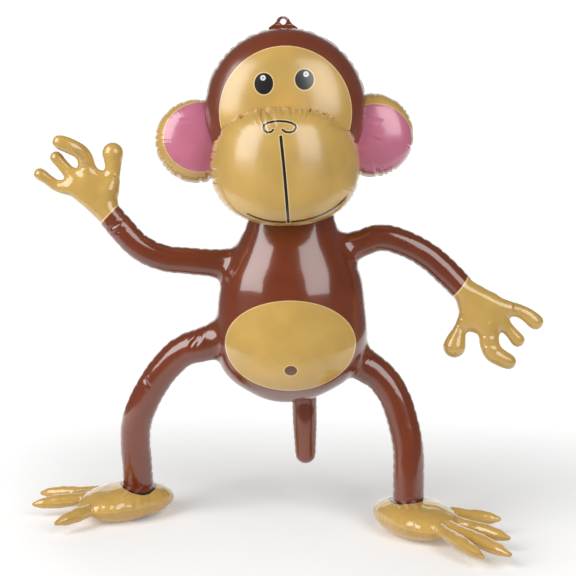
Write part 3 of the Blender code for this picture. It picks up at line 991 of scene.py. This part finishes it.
def make_tab():
    """A bell-shaped scrap of two film layers welded flat, with a punched string hole."""
    side = TAB_WIDTH / 2
    outline = [
        (-side, -TAB_SKIRT, "VECTOR"),
        (-side, 0.0, "VECTOR"),
        (-side * 0.52, TAB_HEIGHT * 0.48, "AUTO"),
        (-side * 0.34, TAB_HEIGHT * 0.84, "AUTO"),
        (0.0, TAB_HEIGHT, "AUTO"),
        (side * 0.34, TAB_HEIGHT * 0.84, "AUTO"),
        (side * 0.52, TAB_HEIGHT * 0.48, "AUTO"),
        (side, 0.0, "VECTOR"),
        (side, -TAB_SKIRT, "VECTOR"),
    ]
    curve = bpy.data.curves.new("tab", "CURVE")
    curve.dimensions = "2D"
    curve.fill_mode = "BOTH"
    curve.extrude = TAB_THICKNESS / 2 - 0.0002
    curve.bevel_depth = 0.0002
    curve.bevel_resolution = 2
    curve.resolution_u = 14
    spline = curve.splines.new("BEZIER")
    spline.bezier_points.add(len(outline) - 1)
    for knot, (x, height, kind) in zip(spline.bezier_points, outline):
        knot.co = (x, height, 0)
        knot.handle_left_type = kind
        knot.handle_right_type = kind
    spline.use_cyclic_u = True
    middle = TAB_HEIGHT - STRING_HOLE / 2 - TAB_RIM
    hole = curve.splines.new("BEZIER")
    hole.bezier_points.add(3)
    for step, knot in enumerate(hole.bezier_points):
        turn = step * math.pi / 2
        knot.co = (math.cos(turn) * STRING_HOLE / 2, middle + math.sin(turn) * STRING_HOLE / 2, 0)
        knot.handle_left_type = "AUTO"
        knot.handle_right_type = "AUTO"
    hole.use_cyclic_u = True
    holder = bpy.data.objects.new("tab", curve)
    parts.objects.link(holder)
    form = bmesh.new()
    form.from_mesh(mesh_of(holder))
    bmesh.ops.remove_doubles(form, verts=form.verts, dist=0.00001)
    bmesh.ops.recalc_face_normals(form, faces=form.faces)
    bmesh.ops.rotate(form, verts=form.verts, matrix=Matrix.Rotation(math.pi / 2, 3, "X"))
    crown = MIDDLE + Vector((TAB_SIDE * STATURE, 0, HEAD_HEIGHT / 2))
    bmesh.ops.translate(form, verts=form.verts, vec=crown)
    for vert in form.verts:
        aside = vert.co.x - crown.x
        fold = math.sin(aside * 520 + 0.6) + 0.6 * math.sin(aside * 1300 + vert.co.z * 500)
        vert.co.y += 0.0009 * fold * smooth_step(vert.co.z - crown.z, 0, 0.004)
    film = vinyl("welded_pvc_tab", plain_paint(BROWN), 0.16, 0.05)
    finish_piece("hanging_tab_film", form, [film], ["hanging_tab"])


make_head()
make_muzzle()
make_ears()
make_body()
make_feet()
make_tail()
make_tab()

# Floor, light and camera

def floor_material():
    """White light table: matt acrylic lit from below, so shadows stay faint, with painted shade greying its
    front.
    """
    material = bpy.data.materials.new("pale_studio_board")
    material.use_nodes = True
    tree = material.node_tree
    shader = tree.nodes["Principled BSDF"]
    point = tree.nodes.new("ShaderNodeTexCoord").outputs["Object"]
    cloud = add(tree, "TexNoise", [("Vector", point), ("Scale", 2.0)])
    tones = [(0, cloud), (6, linear("F7F7F6")), (7, linear("F9F9F9"))]
    white = add(tree, "Mix", tones, output=2, data_type="RGBA")
    # Painted shade: the board's colour fades to grey towards its front edge
    across = coordinate(tree, point, "Y")
    inner = add(tree, "MapRange", [(0, across), (1, -0.48), (2, -0.19), (3, 0.0), (4, 1.0)])
    fade = [(0, inner), (6, linear("8C8C8C")), (7, white)]
    colour = add(tree, "Mix", fade, output=2, data_type="RGBA")
    tree.links.new(colour, shader.inputs["Base Color"])
    shader.inputs["Roughness"].default_value = 0.9
    shader.inputs["Emission Color"].default_value = (1.0, 1.0, 1.0, 1.0)
    away = add(tree, "VectorMath", [(0, point)], output=1, operation="LENGTH")
    glow = add(tree, "MapRange", [(0, away), (1, 0.25), (2, 1.0), (3, 0.19), (4, 0.75)])
    tree.links.new(maths(tree, "MULTIPLY", glow, inner), shader.inputs["Emission Strength"])
    return material


ground = bmesh.new()
middle_place = Matrix.Translation((0.0, 1.2, 0.0))
bmesh.ops.create_circle(ground, cap_ends=True, segments=96, radius=1.7, matrix=middle_place)
floor_mesh = mesh_from(ground, "studio_floor")
floor_mesh.materials.append(floor_material())
floor = bpy.data.objects.new("studio_floor", floor_mesh)
bpy.context.scene.collection.objects.link(floor)


def softbox(name, spot, aim, width, height, watts):
    lamp = bpy.data.lights.new(name, "AREA")
    lamp.shape = "RECTANGLE"
    lamp.size = width
    lamp.size_y = height
    lamp.energy = watts
    holder = bpy.data.objects.new(name, lamp)
    bpy.context.scene.collection.objects.link(holder)
    holder.location = spot
    holder.rotation_euler = (Vector(aim) - Vector(spot)).to_track_quat("-Z", "Y").to_euler()


softbox("left_softbox", (-1.45, -0.94, 1.25), (0, 0, 0.45), 1.3, 1.6, 30)
softbox("right_softbox", (0.99, -1.41, 1.25), (0, 0, 0.45), 1.15, 1.6, 20)

# A dim room with a bright white wall far behind the figure
world = bpy.data.worlds.new("white_studio")
world.use_nodes = True
sky = world.node_tree
background = sky.nodes["Background"]
way = sky.nodes.new("ShaderNodeTexCoord").outputs["Generated"]
low = add(sky, "MapRange", [(0, coordinate(sky, way, "Z")), (1, -0.7), (2, 0.1), (3, 0.35), (4, 0.15)])
level = add(sky, "MapRange", [(0, coordinate(sky, way, "Y")), (1, 0.78), (2, 0.84), (3, low), (4, 1.05)])
background.inputs["Color"].default_value = (1.0, 1.0, 1.0, 1.0)
sky.links.new(level, background.inputs["Strength"])
bpy.context.scene.world = world
bpy.context.scene.view_settings.view_transform = "Standard"

lens = bpy.data.cameras.new("photo_camera")
lens.lens = 78.0
lens.sensor_width = 36.0
lens.sensor_fit = "HORIZONTAL"
camera = bpy.data.objects.new("photo_camera", lens)
bpy.context.scene.collection.objects.link(camera)
camera.location = Vector((0.0, -1.6, 0.5)) + SHIFT
camera.rotation_euler = (math.radians(90 - 6.6), 0.0, 0.0)
bpy.context.scene.camera = camera
